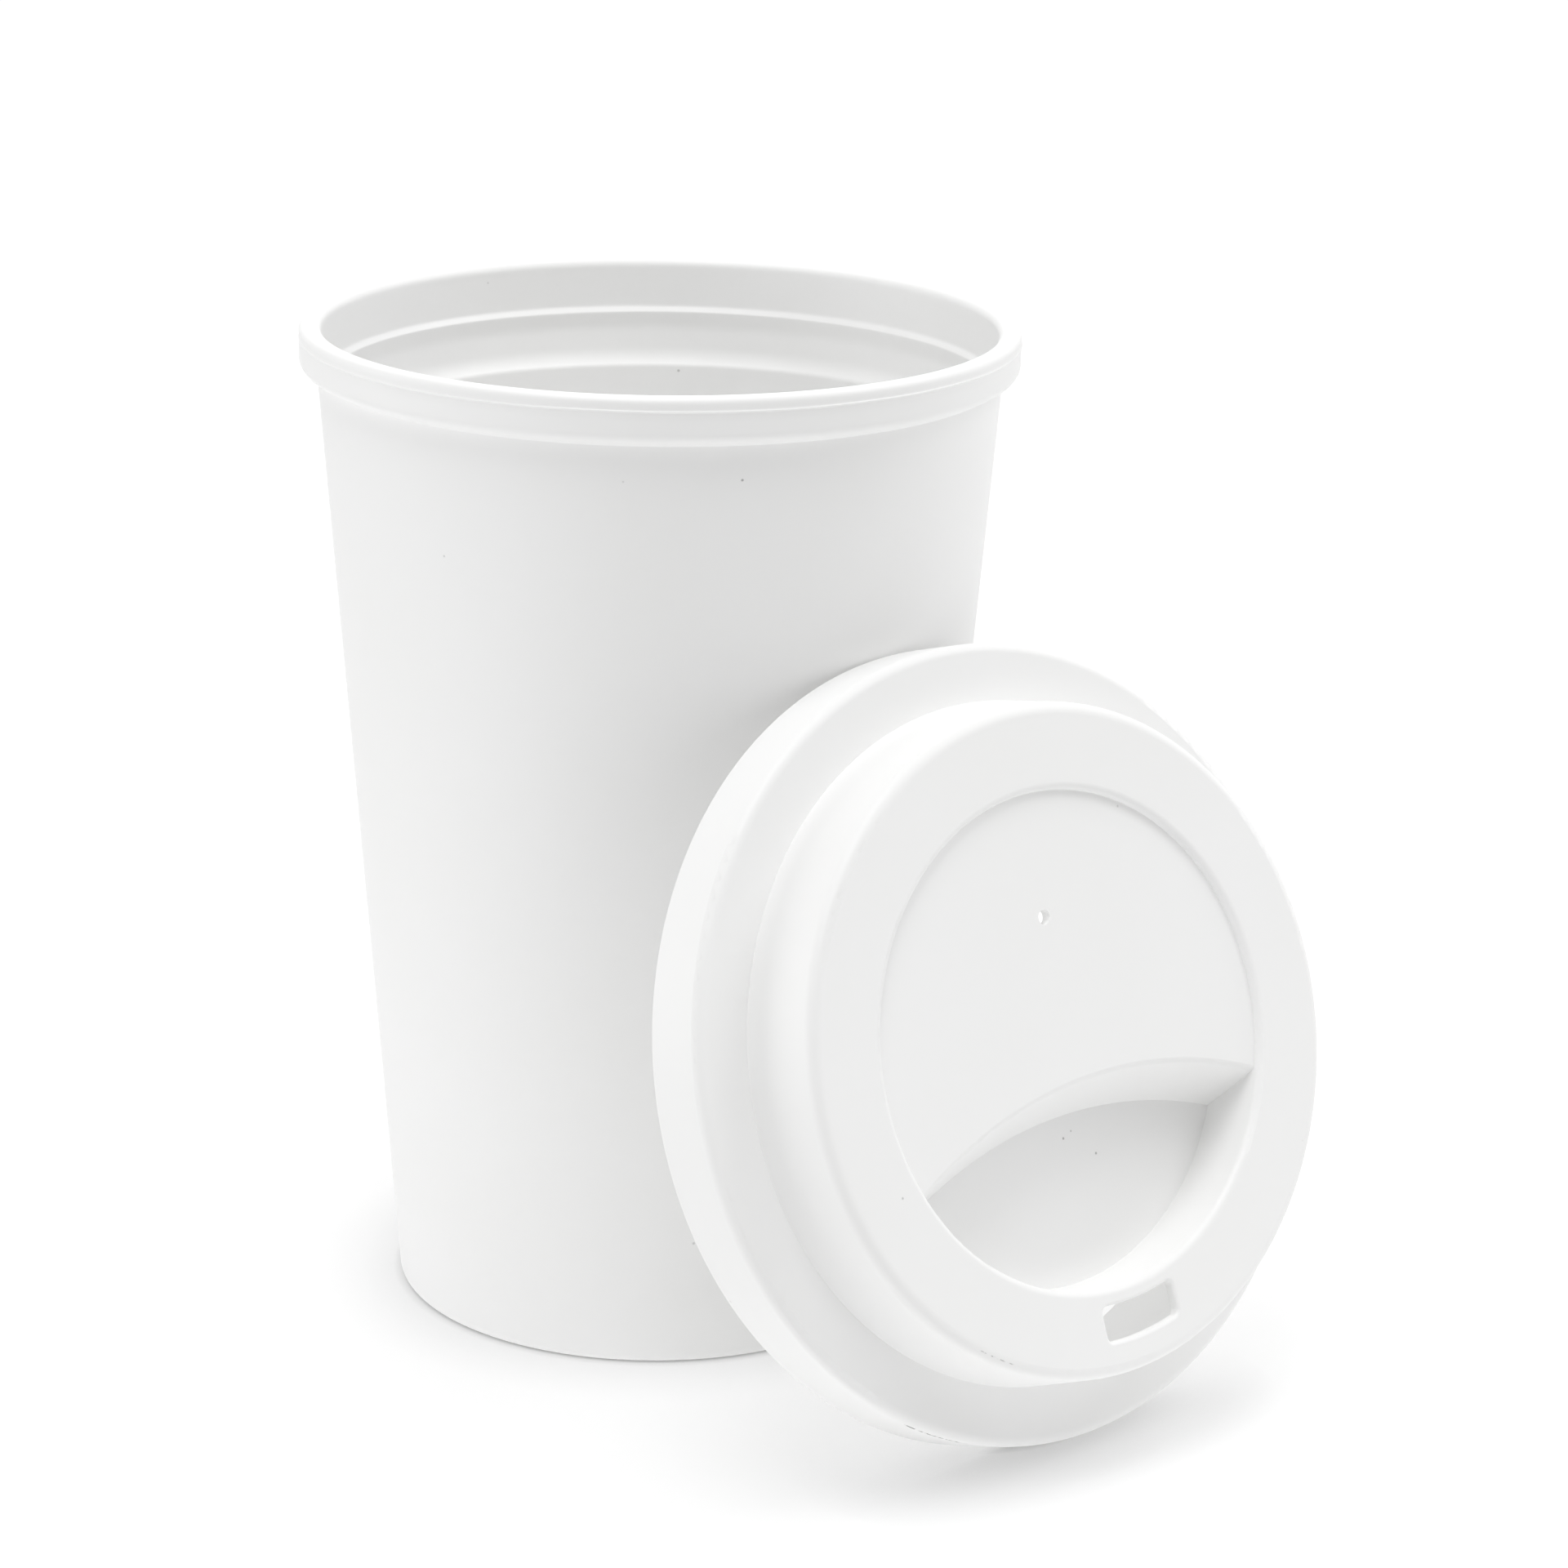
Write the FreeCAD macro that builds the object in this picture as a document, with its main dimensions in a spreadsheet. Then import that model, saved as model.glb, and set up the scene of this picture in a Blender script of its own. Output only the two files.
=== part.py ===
import FreeCAD, Part
import math
import os
import Sketcher

# Reusable drinking cup with its lid taken off. The lid stands on the edge of its skirt
# and leans on the wall of the cup. Millimetres, +Z up, origin at the centre of the cup's base.

sizes = {
    # cup: outside
    "cupHeight": 126.5,
    "rimRadius": 45.0,
    "rimBandHeight": 5.1,
    "returnWidth": 2.2,
    "returnHeight": 1.1,
    "baseRadius": 33.4,
    # cup: mouth, from the lip down
    "lipWidth": 2.7,
    "mouthFlare": 0.5,
    "beadDepth": 7.0,
    "beadWall": 3.7,
    "beadHeight": 0.3,
    "beadFlank": 0.7,
    "beadUndercut": 0.1,
    "beadRelief": 1.8,
    "ledgeDepth": 12.8,
    "ledgeWall": 2.25,
    "ledgeWidth": 0.9,
    "ledgeHeight": 1.2,
    # cup: bottom
    "bottomWall": 1.8,
    "floorThickness": 2.2,
    "footDepth": 1.5,
    "footWidth": 3.5,
    # cup: rounded edges
    "lipOuterFillet": 0.8,
    "lipInnerFillet": 1.2,
    "bandFillet": 1.5,
    "ledgeRootFillet": 4.0,
    "ledgeFillet": 1.0,
    "baseFillet": 1.0,
    "floorFillet": 3.0,
    # lid: shell
    "lidHeight": 19.5,
    "lidThickness": 1.3,
    "skirtHeight": 8.8,
    "skirtFlare": 0.15,
    "skirtClearance": 2.1,
    "plugClearance": 0.1,
    "plugLength": 1.0,
    "drumSlope": 1.1,
    "ringWidth": 10.4,
    "recessDepth": 1.0,
    # lid: crescent pocket
    "pocketDepth": 7.5,
    "pocketStart": 5.0,
    "pocketSlope": 4.8,
    "pocketRadius": 62.0,
    # lid: sip slot and vent
    "slotWidth": 11.6,
    "slotDepth": 4.35,
    "slotRib": 0.8,
    "ventDiameter": 1.8,
    "ventOffset": 15.0,
    # lid: rounded edges
    "skirtFillet": 0.4,
    "shoulderFillet": 1.2,
    "drumFillet": 1.5,
    "recessFillet": 0.9,
    "pocketFillet": 0.8,
    "plugFillet": 0.5,
    "slotCornerRadius": 0.8,
    "slotFillet": 0.45,
    # lid: how it stands beside the cup
    "lidHeadingAngle": -51.5,
    "lidLeanAngle": 18.3,
    "lidSpinAngle": 3.3,
    "lidOffset": 4.8,
    "restClearance": 0.3,
}

up = FreeCAD.Vector(0, 0, 1)
closeEnough = 0.001
doc = FreeCAD.newDocument("ReusableCup")
sheet = doc.addObject("Spreadsheet::Sheet", "Sizes")
for row, (name, value) in enumerate(sizes.items(), 1):
    sheet.set(f"A{row}", name)
    sheet.set(f"B{row}", str(value))
    sheet.setAlias(f"B{row}", name)
doc.recompute()


def bound(formula):
    """A formula of size names, written so that the document can evaluate it."""
    words = sorted(sizes, key=len, reverse=True)
    for index, word in enumerate(words):
        formula = formula.replace(word, f"@{index}@")
    for index, word in enumerate(words):
        formula = formula.replace(f"@{index}@", f"Sizes.{word}")
    return formula


def number(formula):
    return float(sheet.evalExpression(bound(formula)))


def newSketch(body, name, role, height="0"):
    sketch = body.newObject("Sketcher::SketchObject", name)
    plane = next(item for item in body.Origin.OriginFeatures if item.Role == role)
    sketch.AttachmentSupport = [(plane, "")]
    sketch.MapMode = "FlatFace"
    sketch.setExpression("AttachmentOffset.Base.z", bound(height))
    return sketch


def constrain(sketch, formula, kind, *references):
    """Add a dimension and bind it to a formula of the sheet's sizes."""
    index = sketch.addConstraint(Sketcher.Constraint(kind, *references, number(formula)))
    sketch.setExpression(f"Constraints[{index}]", bound(formula))


def pinPoint(sketch, line, across, height):
    """Hold the start of a line at (across, height); 0 puts it on that axis."""
    for formula, kind, axis in ((across, "DistanceX", -2), (height, "DistanceY", -1)):
        if formula == "0":
            sketch.addConstraint(Sketcher.Constraint("PointOnObject", line, 1, axis))
        elif number(formula) < 0:
            constrain(sketch, f"-({formula})", kind, line, 1, -1, 1)
        else:
            constrain(sketch, formula, kind, -1, 1, line, 1)


def revolveSection(body, name, corners):
    """Turn a closed section, given as (radius, height) formulas, about the body's Z axis."""
    sketch = newSketch(body, name + "Section", "XZ_Plane")
    points = [FreeCAD.Vector(number(across), number(height), 0) for across, height in corners]
    count = len(points)
    for index in range(count):
        following = points[(index + 1) % count]
        sketch.addGeometry(Part.LineSegment(points[index], following))
    for index in range(count):
        sketch.addConstraint(Sketcher.Constraint("Coincident", index, 2, (index + 1) % count, 1))
    for index, (across, height) in enumerate(corners):
        pinPoint(sketch, index, across, height)
    revolution = body.newObject("PartDesign::Revolution", name)
    revolution.Profile = sketch
    revolution.ReferenceAxis = (sketch, ["V_Axis"])
    revolution.Angle = 360
    doc.recompute()
    return revolution


def roundCorner(body, name, size, radius, height):
    """Round the circular edge at a radius and height of the section by a named size."""
    base = body.Tip
    wantedRadius = number(radius)
    wantedHeight = number(height)
    edges = []
    for index, edge in enumerate(base.Shape.Edges, 1):
        curve = edge.Curve
        if not isinstance(curve, Part.Circle):
            continue
        level = curve.Center.z - wantedHeight
        if abs(curve.Radius - wantedRadius) < closeEnough and abs(level) < closeEnough:
            edges.append(f"Edge{index}")
    if not edges:
        raise ValueError(f"{name}: no circular edge there")
    fillet = body.newObject("PartDesign::Fillet", name)
    fillet.Base = (base, edges)
    fillet.setExpression("Radius", bound(size))
    doc.recompute()


# Cup. One moulded piece: conical wall, solid rim band with a sloping underside, a small bead
# in the mouth for the lid's plug, a stacking ledge below it and a shallow recess under the floor.

cup = doc.addObject("PartDesign::Body", "CupBody")
cup.Label = "cup"

bandBottom = "cupHeight - rimBandHeight"
wallTop = f"{bandBottom} - returnHeight"
wallTopRadius = "rimRadius - returnWidth"
mouthRadius = "rimRadius - lipWidth"
beadRadius = "rimRadius - beadWall"
beadTop = "cupHeight - beadDepth"
beadBottom = f"{beadTop} - beadHeight"
ledgeTop = "cupHeight - ledgeDepth"
ledgeBottom = f"{ledgeTop} - ledgeHeight"
cupFloor = "footDepth + floorThickness"
footInside = "baseRadius - footWidth"
# the stacking ledge keeps its distance from the conical outside, however steep that is
outsideSlope = f"({wallTopRadius} - baseRadius) / ({wallTop})"
ledgeRadius = f"baseRadius + ({ledgeBottom}) * {outsideSlope} - ledgeWall"

revolveSection(cup, "CupShell", [
    ("0", "footDepth"),
    (footInside, "footDepth"),
    (footInside, "0"),
    ("baseRadius", "0"),
    (wallTopRadius, wallTop),
    ("rimRadius", bandBottom),
    ("rimRadius", "cupHeight"),
    (mouthRadius, "cupHeight"),
    (f"{mouthRadius} - mouthFlare", f"{beadTop} + beadFlank"),
    (beadRadius, beadTop),
    (beadRadius, beadBottom),
    (f"{beadRadius} + beadUndercut", f"{beadBottom} - beadRelief"),
    (f"{ledgeRadius} + ledgeWidth", ledgeTop),
    (ledgeRadius, ledgeBottom),
    ("baseRadius - bottomWall", cupFloor),
    ("0", cupFloor),
])
roundCorner(cup, "BaseFillet", "baseFillet", "baseRadius", "0")
roundCorner(cup, "BandFillet", "bandFillet", "rimRadius", bandBottom)
roundCorner(cup, "LipOuterFillet", "lipOuterFillet", "rimRadius", "cupHeight")
roundCorner(cup, "LipInnerFillet", "lipInnerFillet", mouthRadius, "cupHeight")
roundCorner(cup, "LedgeRootFillet", "ledgeRootFillet", f"{ledgeRadius} + ledgeWidth", ledgeTop)
roundCorner(cup, "LedgeFillet", "ledgeFillet", ledgeRadius, ledgeBottom)
roundCorner(cup, "FloorFillet", "floorFillet", "baseRadius - bottomWall", cupFloor)

# Lid. One moulded shell in its own frame: open edge of the skirt at height 0, top side up,
# sip slot towards -Y. The drum's wall runs on below the shoulder as a plug for the cup's bead.

lid = doc.addObject("PartDesign::Body", "LidBody")
lid.Label = "lid"

skirtRadius = "rimRadius + skirtClearance + lidThickness"
skirtInside = "rimRadius + skirtClearance"
plugRadius = f"{beadRadius} - plugClearance"
plugInside = f"{plugRadius} - lidThickness"
drumRadius = f"{plugRadius} - drumSlope"
recessRadius = f"{drumRadius} - ringWidth"
recessFloor = "lidHeight - recessDepth"
pocketFloor = f"{recessFloor} - pocketDepth"
underRecess = f"{recessFloor} - lidThickness"
underPocket = f"{pocketFloor} - lidThickness"
underRing = "lidHeight - lidThickness"
underShoulder = "skirtHeight - lidThickness"

revolveSection(lid, "LidShell", [
    ("0", underPocket),
    (f"{recessRadius} + lidThickness", underPocket),
    (f"{recessRadius} + lidThickness", underRing),
    (f"{drumRadius} - lidThickness", underRing),
    (plugInside, "skirtHeight"),
    (plugInside, "0 - plugLength"),
    (plugRadius, "0 - plugLength"),
    (plugRadius, underShoulder),
    (skirtInside, underShoulder),
    (skirtInside, "0"),
    (skirtRadius, "0"),
    (f"{skirtRadius} - skirtFlare", "skirtHeight"),
    (plugRadius, "skirtHeight"),
    (drumRadius, "lidHeight"),
    (recessRadius, "lidHeight"),
    (recessRadius, pocketFloor),
    ("0", pocketFloor),
])
roundCorner(lid, "SkirtFillet", "skirtFillet", skirtRadius, "0")
roundCorner(lid, "ShoulderFillet", "shoulderFillet", f"{skirtRadius} - skirtFlare", "skirtHeight")
roundCorner(lid, "DrumFillet", "drumFillet", drumRadius, "lidHeight")
roundCorner(lid, "RecessFillet", "recessFillet", recessRadius, "lidHeight")
roundCorner(lid, "PlugFillet", "plugFillet", plugRadius, "0 - plugLength")


def plateOutline(name, height, start, outer):
    """The raised plate's outline at one height: a long arc in front, a circle behind."""
    sketch = newSketch(lid, name, "XY_Plane", height)
    front = number("pocketRadius")
    back = number(outer)
    middle = -number(start) - front
    # where the circle about (0, middle) crosses the circle about the lid's own axis
    crossing = (middle ** 2 + back ** 2 - front ** 2) / (2 * middle)
    side = math.sqrt(back ** 2 - crossing ** 2)
    frontAngle = math.atan2(crossing - middle, side)
    backAngle = math.atan2(crossing, side)
    frontCircle = Part.Circle(FreeCAD.Vector(0, middle, 0), up, front)
    backCircle = Part.Circle(FreeCAD.Vector(0, 0, 0), up, back)
    sketch.addGeometry(Part.ArcOfCircle(frontCircle, frontAngle, math.pi - frontAngle))
    sketch.addGeometry(Part.ArcOfCircle(backCircle, backAngle, math.pi - backAngle))
    sketch.addConstraint(Sketcher.Constraint("Coincident", 0, 1, 1, 1))
    sketch.addConstraint(Sketcher.Constraint("Coincident", 0, 2, 1, 2))
    sketch.addConstraint(Sketcher.Constraint("Coincident", 1, 3, -1, 1))
    sketch.addConstraint(Sketcher.Constraint("PointOnObject", 0, 3, -2))
    constrain(sketch, "pocketRadius", "Radius", 0)
    constrain(sketch, outer, "Radius", 1)
    constrain(sketch, f"({start}) + pocketRadius", "DistanceY", 0, 3, -1, 1)
    return sketch


def loftBetween(kind, name, first, second):
    loft = lid.newObject(kind, name)
    loft.Profile = first
    loft.Sections = [second]
    loft.Ruled = True
    doc.recompute()


# The dish is as deep as the pocket. A raised plate fills it behind the pocket's sloping front
# and is then hollowed from below, so that the front is as thick as the lid, measured square.
slope = "pocketSlope / pocketDepth"
frontWall = f"lidThickness * sqrt(1 + ({slope}) ^ 2)"
loftBetween(
    "PartDesign::AdditiveLoft", "RaisedPlate",
    plateOutline("PlateTop", recessFloor, "pocketStart", f"{recessRadius} + lidThickness / 2"),
    plateOutline("PlateBottom", underPocket, f"pocketStart + (pocketDepth + lidThickness) * {slope}",
                 f"{recessRadius} + lidThickness / 2"))
loftBetween(
    "PartDesign::SubtractiveLoft", "PlateHollow",
    plateOutline("HollowTop", underRecess, f"pocketStart + lidThickness * {slope} - {frontWall}",
                 f"{recessRadius} + 2 * lidThickness"),
    plateOutline("HollowBottom", f"{underPocket} - lidThickness",
                 f"pocketStart + (pocketDepth + 2 * lidThickness) * {slope} - {frontWall}",
                 f"{recessRadius} + 2 * lidThickness"))
roundCorner(lid, "PocketFillet", "pocketFillet", "pocketRadius", recessFloor)


def cutDown(name, sketch, depth):
    """Cut a sketch on the lid's top side downwards and check that it removes material."""
    before = lid.Tip.Shape.Volume
    pocket = lid.newObject("PartDesign::Pocket", name)
    pocket.Profile = sketch
    pocket.Type = "Length"
    pocket.setExpression("Length", bound(depth))
    doc.recompute()
    if pocket.Shape.Volume > before - 0.1:
        raise ValueError(f"{name} cuts nothing")


# Sip slot through the ring, its long sides concentric with the drum.
slotInside = f"{recessRadius} + lidThickness + slotRib"
slotOutside = f"{slotInside} + slotDepth"
slotSketch = newSketch(lid, "SlotSketch", "XY_Plane", "lidHeight")
halfSlot = number("slotWidth / 2")
origin = FreeCAD.Vector(0, 0, 0)
arcEnds = []
for radius in (number(slotInside), number(slotOutside)):
    half = math.asin(halfSlot / radius)
    circle = Part.Circle(origin, up, radius)
    slotSketch.addGeometry(Part.ArcOfCircle(circle, -math.pi / 2 - half, -math.pi / 2 + half))
    arcEnds.append(-radius * math.cos(half))
for side in (-halfSlot, halfSlot):
    inner = FreeCAD.Vector(side, arcEnds[0], 0)
    outer = FreeCAD.Vector(side, arcEnds[1], 0)
    slotSketch.addGeometry(Part.LineSegment(inner, outer))
for arc in (0, 1):
    slotSketch.addConstraint(Sketcher.Constraint("Coincident", arc, 3, -1, 1))
    slotSketch.addConstraint(Sketcher.Constraint("Coincident", arc, 1, 2, arc + 1))
    slotSketch.addConstraint(Sketcher.Constraint("Coincident", arc, 2, 3, arc + 1))
for line in (2, 3):
    slotSketch.addConstraint(Sketcher.Constraint("Vertical", line))
constrain(slotSketch, slotInside, "Radius", 0)
constrain(slotSketch, slotOutside, "Radius", 1)
constrain(slotSketch, "slotWidth / 2", "DistanceX", 2, 1, -1, 1)
constrain(slotSketch, "slotWidth / 2", "DistanceX", -1, 1, 3, 1)
cutDown("SipSlot", slotSketch, "2 * lidThickness")
uprightEdges = []
for index, edge in enumerate(lid.Tip.Shape.Edges, 1):
    if not isinstance(edge.Curve, Part.Line):
        continue
    foot, head = edge.Vertexes[0].Point, edge.Vertexes[-1].Point
    upright = math.hypot(foot.x - head.x, foot.y - head.y) < closeEnough
    if upright and abs(abs(foot.x) - halfSlot) < closeEnough and foot.y < 0:
        uprightEdges.append(f"Edge{index}")
slotCorners = lid.newObject("PartDesign::Fillet", "SlotCorners")
slotCorners.Base = (lid.Group[-2], uprightEdges)
slotCorners.setExpression("Radius", bound("slotCornerRadius"))
doc.recompute()
roundCorner(lid, "SlotFillet", "slotFillet", slotOutside, "lidHeight")

# Vent through the plate of the recess, opposite the slot.
ventSketch = newSketch(lid, "VentSketch", "XY_Plane", recessFloor)
ventCentre = FreeCAD.Vector(0, number("ventOffset"), 0)
ventRadius = number("ventDiameter / 2")
ventSketch.addGeometry(Part.Circle(ventCentre, up, ventRadius))
ventSketch.addConstraint(Sketcher.Constraint("PointOnObject", 0, 3, -2))
constrain(ventSketch, "ventDiameter / 2", "Radius", 0)
constrain(ventSketch, "ventOffset", "DistanceY", -1, 1, 0, 3)
cutDown("Vent", ventSketch, "2 * lidThickness")

# The lid's place: its axis points away from the cup and rises by the lean angle. The round
# edge of the skirt touches the ground, and the lid slides in until it rests on the cup.
lean = math.radians(number("lidLeanAngle"))
heading = math.radians(number("lidHeadingAngle"))
edgeRound = number("skirtFillet")
edgeRadius = number(skirtRadius) - edgeRound
outward = FreeCAD.Vector(math.cos(heading), math.sin(heading), 0)
sideways = FreeCAD.Vector(-math.sin(heading), math.cos(heading), 0)
lidAxis = outward * math.cos(lean) + FreeCAD.Vector(0, 0, math.sin(lean))
seatHeight = edgeRound + edgeRadius * math.cos(lean) - edgeRound * math.sin(lean)
cupOutline = Part.makeCone(number("baseRadius"), number(wallTopRadius), number(wallTop))
rimOutline = Part.makeCylinder(number("rimRadius"), number("rimBandHeight"),
                               FreeCAD.Vector(0, 0, number(bandBottom)))
obstacle = Part.makeCompound([cupOutline, rimOutline])


def lidBase(distance):
    side = sideways * number("lidOffset")
    return outward * distance + side + FreeCAD.Vector(0, 0, seatHeight)


def gapToCup(distance):
    centre = lidBase(distance) + lidAxis * edgeRound
    edge = Part.Circle(centre, lidAxis, edgeRadius).toShape()
    return edge.distToShape(obstacle)[0] - edgeRound


nearDistance = number("baseRadius")
farDistance = number("rimRadius") + 2 * edgeRadius
for step in range(24):
    middleDistance = (nearDistance + farDistance) / 2
    if gapToCup(middleDistance) < number("restClearance"):
        nearDistance = middleDistance
    else:
        farDistance = middleDistance

turn = FreeCAD.Rotation(up, number("lidHeadingAngle"))
tip = FreeCAD.Rotation(FreeCAD.Vector(0, 1, 0), 90 - number("lidLeanAngle"))
spin = FreeCAD.Rotation(up, 90 + number("lidSpinAngle"))
lid.Placement = FreeCAD.Placement(lidBase(farDistance), turn * tip * spin)
cup.Placement = FreeCAD.Placement()
doc.recompute()

for item in doc.Objects:
    if "Invalid" in item.State or "Error" in item.State:
        raise ValueError(f"{item.Name} failed: {item.State}")
os.makedirs("parts", exist_ok=True)
for body in (cup, lid):
    shape = body.Shape
    if shape.isNull() or not shape.isValid():
        raise ValueError(f"{body.Label} has no valid shape")
    box = shape.BoundBox
    print(body.Label, "volume", round(shape.Volume, 1), "solids", len(shape.Solids),
          "z", round(box.ZMin, 3), round(box.ZMax, 3))
    shape.exportStep(f"parts/{body.Label}.step")
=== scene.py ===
import math
import bpy
import numpy as np
from mathutils import Matrix, Vector


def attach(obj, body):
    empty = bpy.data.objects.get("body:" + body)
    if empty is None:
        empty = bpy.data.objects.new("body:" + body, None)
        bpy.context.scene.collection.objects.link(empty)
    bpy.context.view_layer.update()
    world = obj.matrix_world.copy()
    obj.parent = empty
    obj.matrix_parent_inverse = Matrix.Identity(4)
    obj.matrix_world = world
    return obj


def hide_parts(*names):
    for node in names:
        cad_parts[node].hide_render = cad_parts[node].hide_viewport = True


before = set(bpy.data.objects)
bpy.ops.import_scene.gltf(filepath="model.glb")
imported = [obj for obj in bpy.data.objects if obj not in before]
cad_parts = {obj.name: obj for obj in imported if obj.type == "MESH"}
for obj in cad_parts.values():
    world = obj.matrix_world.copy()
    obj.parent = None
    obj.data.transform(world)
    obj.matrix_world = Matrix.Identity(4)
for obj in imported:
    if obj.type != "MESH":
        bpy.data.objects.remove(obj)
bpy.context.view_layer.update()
print("frame loaded")


# camera: metres and degrees
view = {
    "place": (0.0, -0.55667, 0.23844),
    "right": 1.6819, "down": 17.188, "roll": 0.9826,
    "lens": 103.867, "sensor": 36.0, "reach": 50.0,
}


def setCamera(values):
    right, down, roll = (math.radians(values[key]) for key in ("right", "down", "roll"))
    forward = Vector((math.sin(right) * math.cos(down), math.cos(right) * math.cos(down), -math.sin(down)))
    level = Vector((math.cos(right), -math.sin(right), 0.0))
    upward = level.cross(forward)
    across = level * math.cos(roll) + upward * math.sin(roll)
    upward = upward * math.cos(roll) - level * math.sin(roll)
    data = bpy.data.cameras.new("camera")
    data.lens = values["lens"]
    data.sensor_width = values["sensor"]
    data.clip_end = values["reach"]
    camera = bpy.data.objects.new("camera", data)
    turned = Matrix((across, upward, -forward)).transposed().to_4x4()
    camera.matrix_world = Matrix.Translation(values["place"]) @ turned
    bpy.context.scene.collection.objects.link(camera)
    bpy.context.scene.camera = camera


setCamera(view)
print("camera set")


def linear(hexText):
    channels = [int(hexText[index:index + 2], 16) / 255 for index in (1, 3, 5)]
    return tuple(c / 12.92 if c <= 0.04045 else ((c + 0.055) / 1.055) ** 2.4 for c in channels) + (1.0,)


# adds one node: settings are its properties, inputs are socket values or links from (node, output)
def addNode(tree, kind, inputs=None, **settings):
    node = tree.nodes.new(kind)
    for name, value in settings.items():
        setattr(node, name, value)
    for name, value in (inputs or {}).items():
        socket = node.inputs[name]
        if isinstance(value, tuple) and isinstance(value[0], bpy.types.Node):
            tree.links.new(value[0].outputs[value[1]], socket)
        else:
            socket.default_value = value
    return node


def newMaterial(name):
    material = bpy.data.materials.new(name)
    material.use_nodes = True
    material.node_tree.nodes.clear()
    return material, material.node_tree


# cup, in millimetres and degrees; each parting wave has its count round the rim, start and share
cup = {
    "height": 126.5, "rimRadius": 45.0, "rimBand": 5.1, "returnWidth": 2.2, "returnHeight": 1.1,
    "baseRadius": 33.4, "lipWidth": 2.7, "mouthFlare": 0.5,
    "beadDepth": 7.0, "beadWall": 3.7, "beadHeight": 0.3, "beadFlank": 0.7, "beadUndercut": 0.1,
    "beadRelief": 1.8, "ledgeDepth": 12.8, "ledgeWall": 2.25, "ledgeWidth": 0.9, "ledgeHeight": 1.2,
    "bottomWall": 1.8, "floor": 2.2, "footDepth": 1.5, "footWidth": 3.5,
    "lipOuterFillet": 0.8, "lipInnerFillet": 1.2, "bandFillet": 1.5,
    "flankFillet": 0.8, "beadFillet": 0.4, "reliefFillet": 6.0, "ledgeRootFillet": 4.0, "ledgeFillet": 1.0,
    "baseFillet": 1.0, "floorFillet": 3.0, "edge": 0.12,
    "partingDepth": 1.63, "partingHeight": 0.13, "partingWidth": 0.2, "partingSteps": 9,
    "partingMean": 0.75, "partingSwing": 0.6, "partingHeading": -50.0, "partingWave": 0.05,
    "partingWaves": [(7, 1.0, 0.6), (17, 0.0, 0.4)],
    "around": 288, "arcSteps": 8, "endRun": 0.25,
}


# a section with its corners rounded: each corner (radius, height, rounding) becomes an arc between
# its two tangent points, and each straight run gets points close to its ends and one in the middle
def roundedSection(corners, arcSteps, endRun):
    data = np.array(corners, float)
    points, rounding = data[:, :2], data[:, 2]
    before, after = points[:-2] - points[1:-1], points[2:] - points[1:-1]
    before /= np.linalg.norm(before, axis=1)[:, None]
    after /= np.linalg.norm(after, axis=1)[:, None]
    half = np.arccos(np.clip((before * after).sum(1), -1, 1)) / 2
    reach = rounding[1:-1] / np.tan(half)
    middle = before + after
    middle /= np.linalg.norm(middle, axis=1)[:, None]
    centre = points[1:-1] + middle * (rounding[1:-1] / np.sin(half))[:, None]
    first = points[1:-1] + before * reach[:, None] - centre
    last = points[1:-1] + after * reach[:, None] - centre
    sweep = math.pi - 2 * half
    share = np.linspace(0, 1, arcSteps)[None, :, None]
    arcs = (first[:, None] * np.sin((1 - share) * sweep[:, None, None])
            + last[:, None] * np.sin(share * sweep[:, None, None])) / np.sin(sweep)[:, None, None]
    arcs += centre[:, None]
    starts = np.vstack([points[:1], arcs[:, -1]])
    ends = np.vstack([arcs[:, 0], points[-1:]])
    span = np.linalg.norm(ends - starts, axis=1)
    near = np.minimum(endRun, span / 4) / np.maximum(span, 1e-9)
    shares = np.stack([near, np.full_like(near, 0.5), 1 - near], 1)[..., None]
    runs = starts[:, None] + (ends - starts)[:, None] * shares
    pieces = [points[:1], runs[0]]
    for arc, run in zip(arcs, runs[1:]):
        pieces += [arc, run]
    return np.vstack(pieces + [points[-1:]])


# a closed surface of revolution: x = radius cos(turn), y = radius sin(turn), z = height; radius and
# height are arrays of (section point, turn), and the first and last rows meet the axis in one point
def revolvedMesh(name, radius, height, turn):
    rows, columns = radius.shape
    inner = np.stack([radius * np.cos(turn), radius * np.sin(turn), height], -1)[1:-1].reshape(-1, 3)
    poles = np.array([[0, 0, height[0, 0]], [0, 0, height[-1, 0]]])
    vertices = np.vstack([inner, poles]) / 1000
    index = np.arange((rows - 2) * columns).reshape(rows - 2, columns)
    ahead = np.roll(index, -1, axis=1)
    quads = np.stack([index[:-1], ahead[:-1], ahead[1:], index[1:]], -1).reshape(-1, 4)
    bottomFan = np.stack([np.full(columns, len(inner)), ahead[0], index[0]], -1)
    topFan = np.stack([np.full(columns, len(inner) + 1), index[-1], ahead[-1]], -1)
    mesh = bpy.data.meshes.new(name)
    mesh.from_pydata(vertices.tolist(), [], quads.tolist() + bottomFan.tolist() + topFan.tolist())
    mesh.polygons.foreach_set("use_smooth", np.ones(len(mesh.polygons), bool))
    mesh.update()
    return mesh


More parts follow.
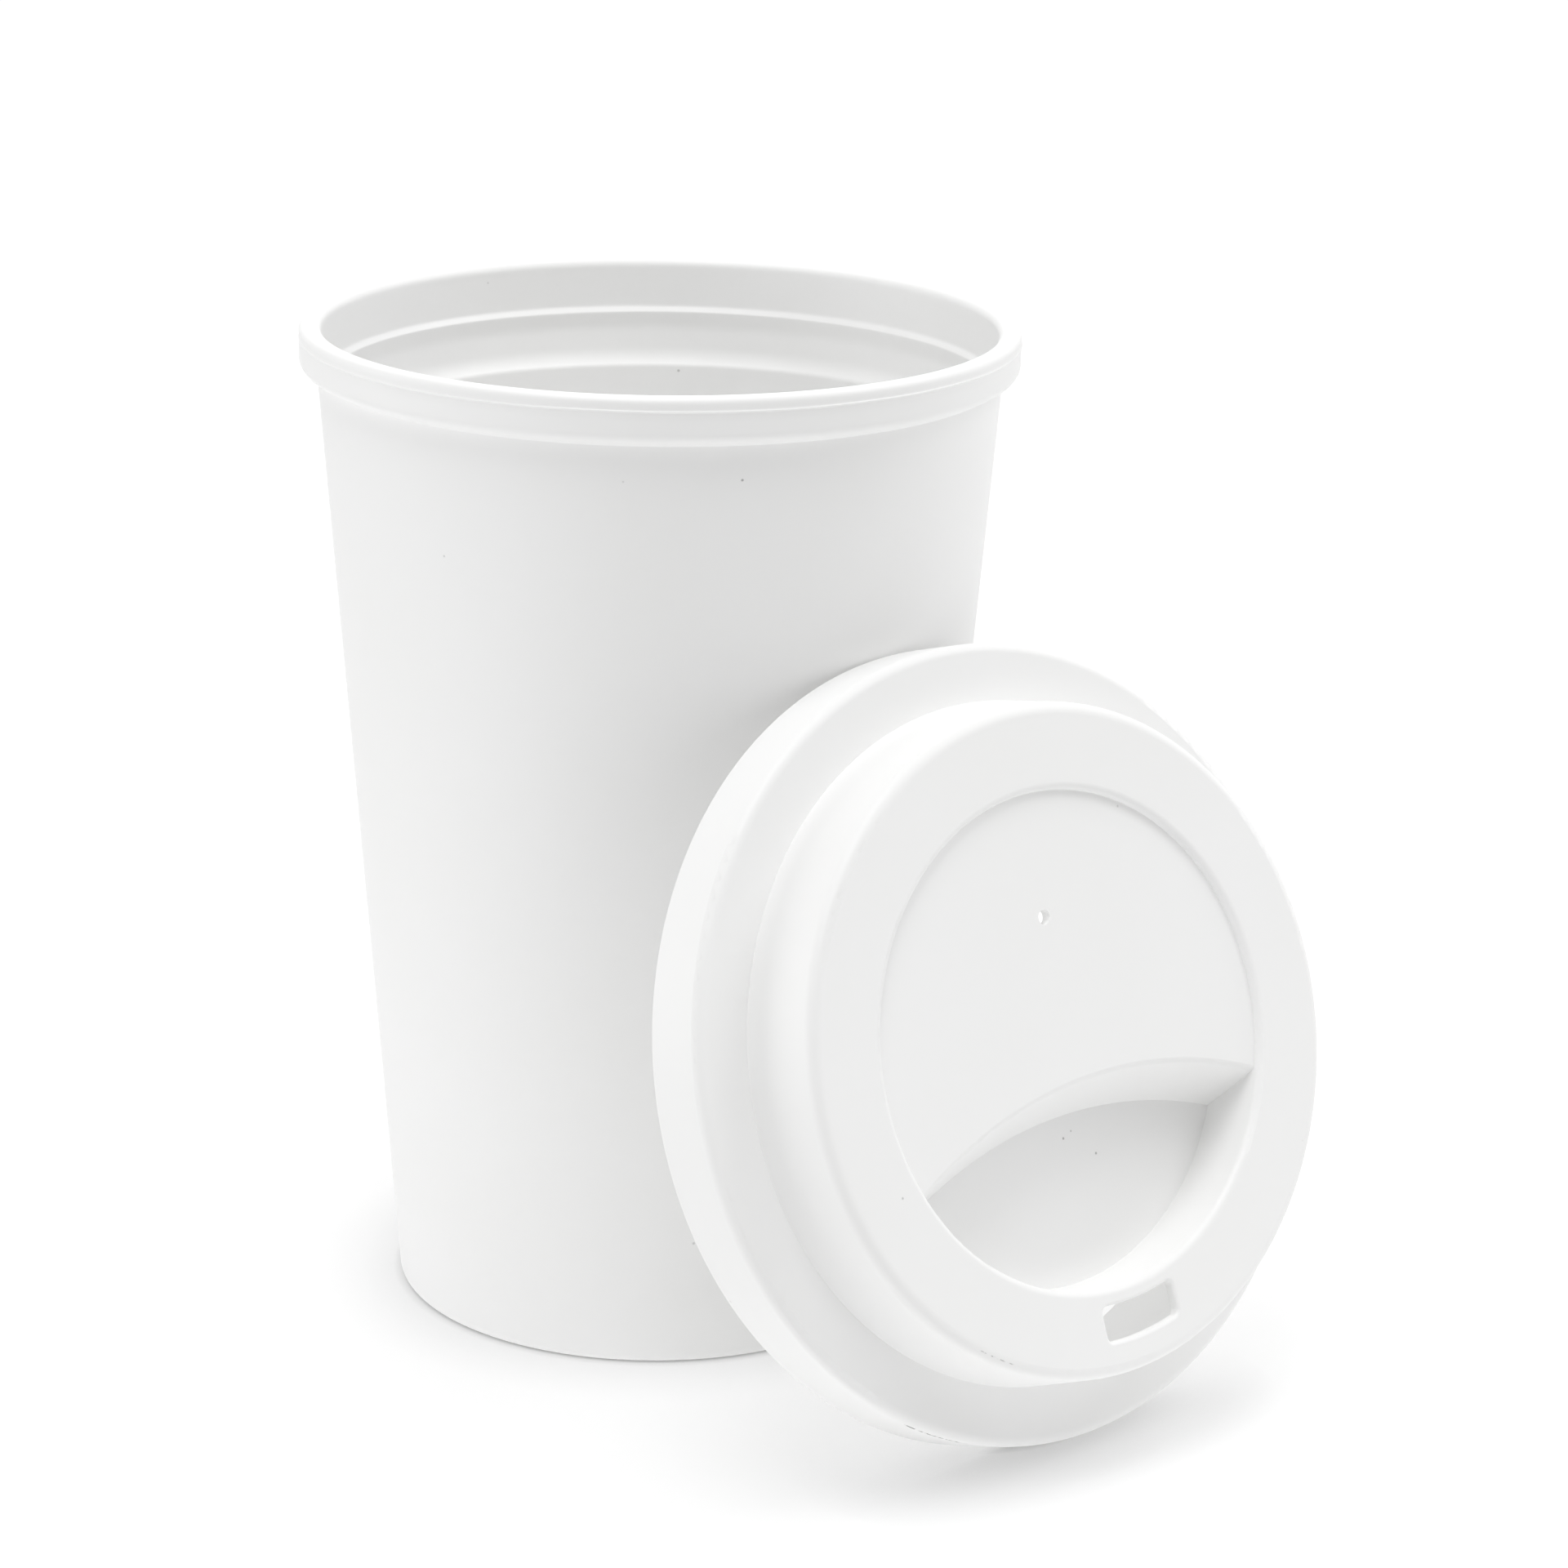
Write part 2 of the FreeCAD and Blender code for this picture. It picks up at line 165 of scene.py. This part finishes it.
# the cup: its section turned about the axis. The mould's parting line is a ridge on the rim band:
# radius + ridge height * strength round the rim * (a peak across the line), and it wanders a little
def makeCup(values):
    top, rim = values["height"], values["rimRadius"]
    edge = values["edge"]
    bandBottom = top - values["rimBand"]
    wallTop = bandBottom - values["returnHeight"]
    wallRadius = rim - values["returnWidth"]
    mouth, bead = rim - values["lipWidth"], rim - values["beadWall"]
    beadTop = top - values["beadDepth"]
    beadBottom = beadTop - values["beadHeight"]
    ledgeTop = top - values["ledgeDepth"]
    ledgeBottom = ledgeTop - values["ledgeHeight"]
    slope = (wallRadius - values["baseRadius"]) / wallTop
    ledge = values["baseRadius"] + ledgeBottom * slope - values["ledgeWall"]
    insideFloor = values["footDepth"] + values["floor"]
    foot = values["baseRadius"] - values["footWidth"]
    parting = top - values["partingDepth"]
    lower = [
        (0, values["footDepth"], 0), (foot, values["footDepth"], edge), (foot, 0, edge),
        (values["baseRadius"], 0, values["baseFillet"]), (wallRadius, wallTop, edge),
        (rim, bandBottom, values["bandFillet"]), (rim, parting, 0),
    ]
    upper = [
        (rim, parting, 0), (rim, top, values["lipOuterFillet"]), (mouth, top, values["lipInnerFillet"]),
        (mouth - values["mouthFlare"], beadTop + values["beadFlank"], values["flankFillet"]),
        (bead, beadTop, values["beadFillet"]), (bead, beadBottom, values["beadFillet"]),
        (bead + values["beadUndercut"], beadBottom - values["beadRelief"], values["reliefFillet"]),
        (ledge + values["ledgeWidth"], ledgeTop, values["ledgeRootFillet"]),
        (ledge, ledgeBottom, values["ledgeFillet"]),
        (values["baseRadius"] - values["bottomWall"], insideFloor, values["floorFillet"]),
        (0, insideFloor, 0),
    ]
    spacing = values["arcSteps"], values["endRun"]
    across = np.linspace(-1, 1, values["partingSteps"])[:, None] * values["partingWidth"]
    ridge = np.hstack([np.full_like(across, rim), parting + across])
    section = np.vstack([roundedSection(lower, *spacing)[:-2], ridge,
                         roundedSection(upper, *spacing)[2:]])
    turn = np.arange(values["around"]) * 2 * math.pi / values["around"]
    radius = np.repeat(section[:, :1], values["around"], axis=1)
    height = np.repeat(section[:, 1:], values["around"], axis=1)
    offset = (height - parting) / values["partingWidth"]
    tiny = 0.001
    onLine = (np.abs(offset) <= 1 + tiny) & (np.abs(radius - rim) < tiny)
    # strongest at its heading and weakest on the far side
    swing = values["partingSwing"] * np.cos(turn - math.radians(values["partingHeading"]))
    strength = np.clip(values["partingMean"] + swing, 0, 1)
    wave = sum(share * np.sin(turn * count + start) for count, start, share in values["partingWaves"])
    peak = np.cos(np.clip(offset, -1, 1) * math.pi / 2) ** 2
    radius += onLine * values["partingHeight"] * strength * peak
    height += onLine * values["partingWave"] * wave * (1 - offset ** 2)
    shell = bpy.data.objects.new("cupShell", revolvedMesh("cupShell", radius, height, turn))
    bpy.context.scene.collection.objects.link(shell)
    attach(shell, "root")
    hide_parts("cup")
    return shell


cupShell = makeCup(cup)
print("cup made", len(cupShell.data.polygons))


# the lid's own frame: millimetres and degrees; marks on the lid are placed in it
lidFrame = {
    "centre": (38.541, -40.742, 45.847), "heading": -51.5, "lean": 18.3, "spin": 3.3,
}
# white polypropylene, injection moulded and matt: a soft wide sheen, almost no grain, faint flow
# shading from the resin, and a few dark specks of scorched resin set in it; pattern sizes are in
# millimetres
plastic = {
    "colour": "#F5F5F5", "flowColour": "#F2F2F1", "darkColour": "#6E6C6A",
    "roughness": 0.5, "ior": 1.49, "flow": 24.0, "handled": 6.0, "handledShare": 0.05,
    "grain": 0.35, "grainHeight": 0.0012,
    "speckCell": 10.0, "speckRadius": 0.17, "speckDepth": 0.55, "brokenFrom": 0.42, "brokenTo": 0.55,
}
# single specks: x, y, z, radius and strength; scuffs: radius and height round the axis, first and
# last angle, half width, how long its broken parts are, and strength
cupMarks = {
    "specks": [(9.66, -41.36, 116.08, 0.15, 0.6), (-4.26, -42.24, 115.95, 0.13, 0.2)],
    "scuffs": [],
}
lidMarks = {
    "specks": [(1.48, -12.52, 11.0, 0.15, 0.6), (5.99, -15.69, 11.0, 0.15, 0.6),
               (2.9, -12.0, 11.0, 0.12, 0.4)],
    "scuffs": [(48.3, 7.6, -127.5, -116.0, 0.19, 0.7, 1.0),
               (39.37, 19.36, -129.5, -122.0, 0.06, 0.5, 0.5)],
}


# 1 nearer than the radius, falling to 0 over a soft edge
def spot(tree, distance, radius, softness=0.5):
    return addNode(tree, "ShaderNodeMapRange", {
        "Value": distance, "From Min": radius * (1 - softness), "From Max": radius * (1 + softness),
        "To Min": 1.0, "To Max": 0.0}, interpolation_type="SMOOTHSTEP")


def times(tree, first, second):
    return addNode(tree, "ShaderNodeMath", {0: first, 1: second}, operation="MULTIPLY")


# a thin mark along a circle round the axis: near its radius and height, between its two angles,
# and broken up by noise as long as its parts
def scuff(tree, place, mark, values):
    radius, height, first, last, halfWidth, partLength, strength = mark
    split = addNode(tree, "ShaderNodeSeparateXYZ", {"Vector": (place, 0)})
    flat = addNode(tree, "ShaderNodeVectorMath", {0: (place, 0), 1: (1.0, 1.0, 0.0)}, operation="MULTIPLY")
    outward = addNode(tree, "ShaderNodeVectorMath", {0: (flat, "Vector")}, operation="LENGTH")
    profile = addNode(tree, "ShaderNodeCombineXYZ", {"X": (outward, "Value"), "Y": (split, "Z")})
    away = addNode(tree, "ShaderNodeVectorMath", {0: (profile, 0), 1: (radius, height, 0.0)},
                   operation="DISTANCE")
    angle = addNode(tree, "ShaderNodeMath", {0: (split, "Y"), 1: (split, "X")}, operation="ARCTAN2")
    middle, half = math.radians((first + last) / 2), math.radians(abs(last - first) / 2)
    turned = addNode(tree, "ShaderNodeMath", {0: (angle, 0), 1: middle}, operation="SUBTRACT")
    apart = addNode(tree, "ShaderNodeMath", {0: (turned, 0)}, operation="ABSOLUTE")
    broken = addNode(tree, "ShaderNodeTexNoise", {"Vector": (place, 0), "Scale": 1 / partLength,
                                                  "Detail": 2.0})
    parts = addNode(tree, "ShaderNodeMapRange", {
        "Value": (broken, 0), "From Min": values["brokenFrom"], "From Max": values["brokenTo"]})
    line = times(tree, (spot(tree, (away, "Value"), halfWidth), 0), (spot(tree, (apart, 0), half, 0.1), 0))
    return times(tree, (times(tree, (line, 0), (parts, 0)), 0), strength)


def mouldedPlastic(name, values, marks, own=None):
    material, tree = newMaterial(name)
    coordinates = addNode(tree, "ShaderNodeTexCoord")
    place = addNode(tree, "ShaderNodeMapping", {"Vector": (coordinates, "Object"), "Scale": (0.001,) * 3},
                    vector_type="TEXTURE")  # to millimetres in the piece's own frame
    if own:
        turn = (Matrix.Rotation(math.radians(own["heading"]), 3, "Z")
                @ Matrix.Rotation(math.radians(90 - own["lean"]), 3, "Y")
                @ Matrix.Rotation(math.radians(90 + own["spin"]), 3, "Z"))
        place.inputs["Location"].default_value = Vector(own["centre"]) / 1000
        place.inputs["Rotation"].default_value = turn.to_euler()

    flow = addNode(tree, "ShaderNodeTexNoise", {"Vector": (place, 0), "Scale": 1 / values["flow"],
                                                "Detail": 1.0})
    resin = addNode(tree, "ShaderNodeMix", {"Factor": (flow, 0)}, data_type="RGBA")
    resin.inputs[6].default_value = linear(values["colour"])
    resin.inputs[7].default_value = linear(values["flowColour"])
    cells = addNode(tree, "ShaderNodeTexVoronoi", {"Vector": (place, 0), "Scale": 1 / values["speckCell"]})
    dark = times(tree, (spot(tree, (cells, "Distance"), values["speckRadius"] / values["speckCell"]), 0),
                 (cells, "Color"))
    dark = times(tree, (dark, 0), values["speckDepth"])
    for x, y, z, radius, strength in marks["specks"]:
        away = addNode(tree, "ShaderNodeVectorMath", {0: (place, 0), 1: (x, y, z)}, operation="DISTANCE")
        speck = times(tree, (spot(tree, (away, "Value"), radius), 0), strength)
        dark = addNode(tree, "ShaderNodeMath", {0: (dark, 0), 1: (speck, 0)}, operation="MAXIMUM")
    for mark in marks["scuffs"]:
        line = scuff(tree, place, mark, values)
        dark = addNode(tree, "ShaderNodeMath", {0: (dark, 0), 1: (line, 0)}, operation="MAXIMUM")
    colour = addNode(tree, "ShaderNodeMix", {"Factor": (dark, 0), 6: (resin, 2)}, data_type="RGBA")
    colour.inputs[7].default_value = linear(values["darkColour"])

    handled = addNode(tree, "ShaderNodeTexNoise", {"Vector": (place, 0), "Scale": 1 / values["handled"],
                                                   "Detail": 3.0})
    sheen = addNode(tree, "ShaderNodeMapRange", {
        "Value": (handled, 0), "To Min": values["roughness"] - values["handledShare"],
        "To Max": values["roughness"] + values["handledShare"]})
    grain = addNode(tree, "ShaderNodeTexNoise", {"Vector": (place, 0), "Scale": 1 / values["grain"],
                                                 "Detail": 2.0})
    relief = addNode(tree, "ShaderNodeBump", {"Height": (grain, 0), "Strength": 1.0,
                                              "Distance": values["grainHeight"] / 1000})
    shader = addNode(tree, "ShaderNodeBsdfPrincipled", {
        "Base Color": (colour, 2), "Roughness": (sheen, 0), "IOR": values["ior"], "Normal": (relief, 0)})
    addNode(tree, "ShaderNodeOutputMaterial", {"Surface": (shader, 0)})
    return material


cupShell.data.materials.append(mouldedPlastic("mouldedPolypropylene", plastic, cupMarks))
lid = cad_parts["lid"].data
lid.materials.clear()
lid.materials.append(mouldedPlastic("mouldedPolypropyleneLid", plastic, lidMarks, lidFrame))
print("plastic made")

# studio: lamps in watts, sizes and distances in metres, angles in degrees round the object
lamps = {
    "overhead": {"azimuth": 0, "elevation": 90, "distance": 1.5, "size": 0.8, "power": 3.2},
    "high": {"azimuth": 240, "elevation": 70, "distance": 1.5, "size": 0.8, "power": 8.0},
    "right": {"azimuth": 0, "elevation": 50, "distance": 1.5, "size": 0.8, "power": 5.2},
    "back": {"azimuth": 90, "elevation": 50, "distance": 1.5, "size": 0.8, "power": 3.5},
    "lowRight": {"azimuth": 30, "elevation": 8, "distance": 1.5, "size": 0.8, "power": 2.6},
    "lowLeft": {"azimuth": 180, "elevation": 8, "distance": 1.5, "size": 0.8, "power": 4.5},
}
room = {
    "dome": 0.381, "backdrop": 1.0, "floorColour": "#F3F3F3",
    "tableGlow": 0.19, "glowNear": 0.18, "glowFar": 0.34,
    # what the camera sees of the floor: a glow with painted shade near the object, as crevice, contact and
    # beside shares, each darkened within its reach
    "seenDiffuse": 0.33, "seenGlow": 0.12, "creviceShare": 0.21, "creviceReach": 0.0012,
    "contactShare": 0.2, "contactReach": 0.012, "besideShare": 0.2, "besideReach": 0.048,
    "shadeSamples": 6, "farGlow": 1.05, "farStart": 0.25, "farEnd": 0.9,
    "floorHalf": 3.0, "floorDrop": 0.00005,
}
centre = Vector((0.019, -0.018, 0.06))


def addLamp(name, values):
    azimuth, elevation = math.radians(values["azimuth"]), math.radians(values["elevation"])
    outward = Vector((math.cos(azimuth) * math.cos(elevation), math.sin(azimuth) * math.cos(elevation),
                      math.sin(elevation)))
    data = bpy.data.lights.new(name, "AREA")
    data.shape = "DISK"
    data.size = values["size"]
    data.energy = values["power"]
    lamp = bpy.data.objects.new(name, data)
    lamp.location = centre + outward * values["distance"]
    lamp.rotation_euler = outward.to_track_quat("Z", "Y").to_euler()
    bpy.context.scene.collection.objects.link(lamp)


for lampName, lampValues in lamps.items():
    addLamp(lampName, lampValues)


# 1 for what the camera sees directly, in a mirror or through glass
def seenDirectly(tree):
    path = addNode(tree, "ShaderNodeLightPath")
    gloss = addNode(tree, "ShaderNodeMath", {0: (path, "Is Camera Ray"), 1: (path, "Is Glossy Ray")},
                    operation="MAXIMUM")
    return addNode(tree, "ShaderNodeMath", {0: (gloss, 0), 1: (path, "Is Transmission Ray")},
                   operation="MAXIMUM")


# from 1 at the first distance from the object's middle to 0 at the second, or the other way round
def nearness(tree, first, second, low=1.0, high=0.0):
    place = addNode(tree, "ShaderNodeTexCoord")
    distance = addNode(tree, "ShaderNodeVectorMath", {0: (place, "Object"), 1: (centre.x, centre.y, 0.0)},
                       operation="DISTANCE")
    return addNode(tree, "ShaderNodeMapRange", {"Value": (distance, "Value"), "From Min": first,
                                                "From Max": second, "To Min": low, "To Max": high})


def makeRoom(values):
    world = bpy.data.worlds.new("studio")
    bpy.context.scene.world = world
    world.use_nodes = True
    tree = world.node_tree
    tree.nodes.clear()
    dome = addNode(tree, "ShaderNodeBackground", {"Strength": values["dome"]})
    backdrop = addNode(tree, "ShaderNodeBackground", {"Strength": values["backdrop"]})
    for background in (dome, backdrop):
        background.inputs["Color"].default_value = (1.0, 1.0, 1.0, 1.0)
    mixed = addNode(tree, "ShaderNodeMixShader", {0: (seenDirectly(tree), 0),
                                                  1: (dome, 0), 2: (backdrop, 0)})
    addNode(tree, "ShaderNodeOutputWorld", {"Surface": (mixed, 0)})

    # the floor glows and lights the object; the camera sees it with painted shade close to the object
    material, tree = newMaterial("lightTableWithPaintedShade")
    surface = addNode(tree, "ShaderNodeBsdfDiffuse", {"Color": linear(values["floorColour"])})
    glowPlace = nearness(tree, values["glowNear"], values["glowFar"], values["tableGlow"], 0.0)
    glow = addNode(tree, "ShaderNodeEmission", {"Strength": (glowPlace, 0)})
    lit = addNode(tree, "ShaderNodeAddShader", {0: (surface, 0), 1: (glow, 0)})
    # what is seen: light reflected plus a glow with painted contact shade, darkened close to the
    # # object by ambient occlusion at three reaches, and a plain white glow far away
    glowWithPaintedShade = values["seenGlow"]
    for place in ("crevice", "contact", "beside"):
        clear = addNode(tree, "ShaderNodeAmbientOcclusion", {"Distance": values[place + "Reach"]},
                        samples=values["shadeSamples"])
        sums = {0: (clear, "AO"), 1: values[place + "Share"], 2: glowWithPaintedShade}
        glowWithPaintedShade = (addNode(tree, "ShaderNodeMath", sums, operation="MULTIPLY_ADD"), 0)
    paintedShadeGlow = addNode(tree, "ShaderNodeEmission", {"Strength": glowWithPaintedShade})
    white = addNode(tree, "ShaderNodeBsdfDiffuse", {"Color": (values["seenDiffuse"],) * 3 + (1.0,)})
    close = addNode(tree, "ShaderNodeAddShader", {0: (white, 0), 1: (paintedShadeGlow, 0)})
    far = addNode(tree, "ShaderNodeEmission", {"Strength": values["farGlow"]})
    share = nearness(tree, values["farStart"], values["farEnd"], 0.0, 1.0)
    seen = addNode(tree, "ShaderNodeMixShader", {0: (share, 0), 1: (close, 0), 2: (far, 0)})
    mixed = addNode(tree, "ShaderNodeMixShader", {0: (seenDirectly(tree), 0), 1: (lit, 0), 2: (seen, 0)})
    addNode(tree, "ShaderNodeOutputMaterial", {"Surface": (mixed, 0)})
    mesh = bpy.data.meshes.new("floor")
    half, level = values["floorHalf"], -values["floorDrop"]
    corners = [(-half, -half, level), (half, -half, level), (half, half, level), (-half, half, level)]
    mesh.from_pydata(corners, [], [(0, 1, 2, 3)])
    mesh.materials.append(material)
    material.cycles.emission_sampling = "NONE"  # its glow is found by bounced rays alone
    floor = bpy.data.objects.new("floor", mesh)
    bpy.context.scene.collection.objects.link(floor)


makeRoom(room)
bpy.context.scene.view_settings.view_transform = "Standard"
bpy.context.scene.cycles.diffuse_bounces = 12  # white plastic passes light on many times inside the cup
print("studio made")
